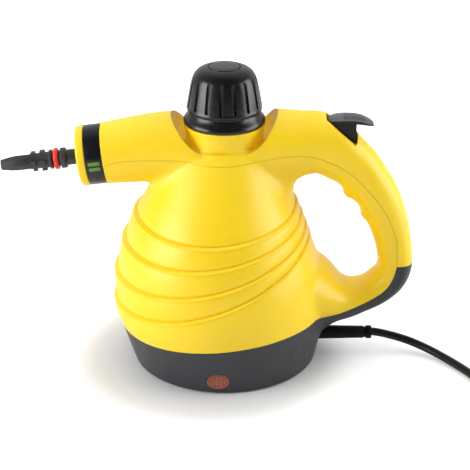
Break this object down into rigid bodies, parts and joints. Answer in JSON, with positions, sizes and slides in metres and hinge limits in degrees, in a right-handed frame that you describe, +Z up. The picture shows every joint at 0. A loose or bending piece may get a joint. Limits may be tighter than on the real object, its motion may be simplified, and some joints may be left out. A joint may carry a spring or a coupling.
{
  "type": "handheld steam cleaner",
  "caption": "Handheld steam cleaner: pear-shaped boiler housing with a loop handle, trigger, filler cap, slanted barrel with a jet nozzle, and a coiled mains cord.",
  "frame": {"origin": "on the floor the feet stand on, under the middle of the cleaner's box without its cord", "axes": "+X toward the handle, -X toward the nozzle, +Y away from the indicator lamp's side, +Z up"},
  "size_m": [0.4627, 0.2276, 0.2248],
  "materials": {
    "yellow_plastic": "glossy moulded",
    "grey_plastic": "satin moulded",
    "black_plastic": "satin moulded",
    "trigger_black": "satin moulded",
    "nozzle_black": "moulded",
    "inner_plastic": "moulded",
    "rubber": "matte",
    "cord_rubber": "smooth sheath",
    "red_silicone": "smooth",
    "seal_silicone": "smooth",
    "hose_silicone": "translucent",
    "boiler_aluminium": "pressed",
    "steel": "plated",
    "brass": "turned",
    "heater_metal": "oxidised",
    "ceramic": "glazed",
    "green_print": "inlaid",
    "lamp_lens": "ribbed lens",
    "wire_brown": "sleeved",
    "wire_blue": "sleeved",
    "wire_red": "sleeved",
    "plug_rubber": "matte moulded",
    "pin_brass": "plated"
  },
  "bodies": {
    "housing": {"base_screw_1": "steel", "base_screw_2": "steel", "base_screw_3": "steel", "base_screw_4": "steel", "base_shell": "grey_plastic", "boiler_gasket": "seal_silicone", "boiler_lower": "boiler_aluminium", "boiler_screw_1": "steel", "boiler_screw_2": "steel", "boiler_screw_3": "steel", "boiler_screw_4": "steel", "boiler_upper": "boiler_aluminium", "bottom_plate": "grey_plastic", "cord": "cord_rubber", "cord_coil": "cord_rubber", "cord_tie": "black_plastic", "foot_1": "rubber", "foot_2": "rubber", "foot_3": "rubber", "foot_4": "rubber", "front_bezel": "yellow_plastic", "funnel_ring": "black_plastic", "heating_element": "heater_metal", "lamp_body": "inner_plastic", "lamp_lens": "lamp_lens", "lock_mark_1": "green_print", "lock_mark_2": "green_print", "lock_ring": "black_plastic", "lower_shell": "yellow_plastic", "nozzle_seal": "red_silicone", "nozzle_spigot": "nozzle_black", "plug_body": "plug_rubber", "plug_pin_1": "pin_brass", "plug_pin_2": "pin_brass", "steam_feed_pipe": "hose_silicone", "steam_outlet_pipe": "hose_silicone", "steam_valve": "brass", "strain_relief": "rubber", "terminal_block": "inner_plastic", "thermal_fuse": "heater_metal", "thermostat": "ceramic", "trigger_bracket": "inner_plastic", "trigger_pin": "steel", "upper_shell": "yellow_plastic", "wire_lamp": "wire_red", "wire_live": "wire_brown", "wire_neutral": "wire_blue"},
    "trigger": {"trigger": "trigger_black"},
    "plunger": {"valve_plunger": "steel", "trigger_spring": "steel"},
    "cap_rise": {"cap_seal": "seal_silicone"},
    "cap": {"safety_cap": "black_plastic", "cap_core": "brass", "relief_screw": "brass"},
    "relief": {"relief_poppet": "steel", "relief_spring": "steel"},
    "jet": {"jet_nozzle": "nozzle_black"}
  },
  "joints": [
    {"name": "trigger_press", "type": "hinge", "parent": "housing", "child": "trigger", "pos_m": [0.08348, 0, 0.17499], "axis": [0, 1, 0], "range_deg": [0, 10], "stiffness_Nm_per_rad": 0.6, "springref_deg": -5.73},
    {"name": "plunger_slide", "type": "slide", "parent": "housing", "child": "plunger", "axis": [0, 0, 1], "range_m": [-0.0022, 0], "deforming": ["trigger_spring"]},
    {"name": "cap_lift", "type": "slide", "parent": "housing", "child": "cap_rise", "axis": [0, 0, 1], "range_m": [0, 0.0151]},
    {"name": "cap_turn", "type": "hinge", "parent": "cap_rise", "child": "cap", "pos_m": [0.01148, 0, 0.2], "axis": [0, 0, 1], "range_deg": [0, 1800]},
    {"name": "relief_lift", "type": "slide", "parent": "cap", "child": "relief", "axis": [0, 0, 1], "range_m": [0, 0.0015], "stiffness_N_per_m": 2500, "springref_m": -0.004, "deforming": ["relief_spring"]},
    {"name": "jet_twist", "type": "hinge", "parent": "housing", "child": "jet", "pos_m": [-0.07418, 0, 0.15941], "axis": [-0.9921, 0, -0.1253], "range_deg": [0, 60]}
  ],
  "couplings": [
    {"joint": "plunger_slide", "follows": "trigger_press", "m_per_rad": -0.012},
    {"joint": "cap_lift", "follows": "cap_turn", "m_per_rad": 0.00047746}
  ]
}
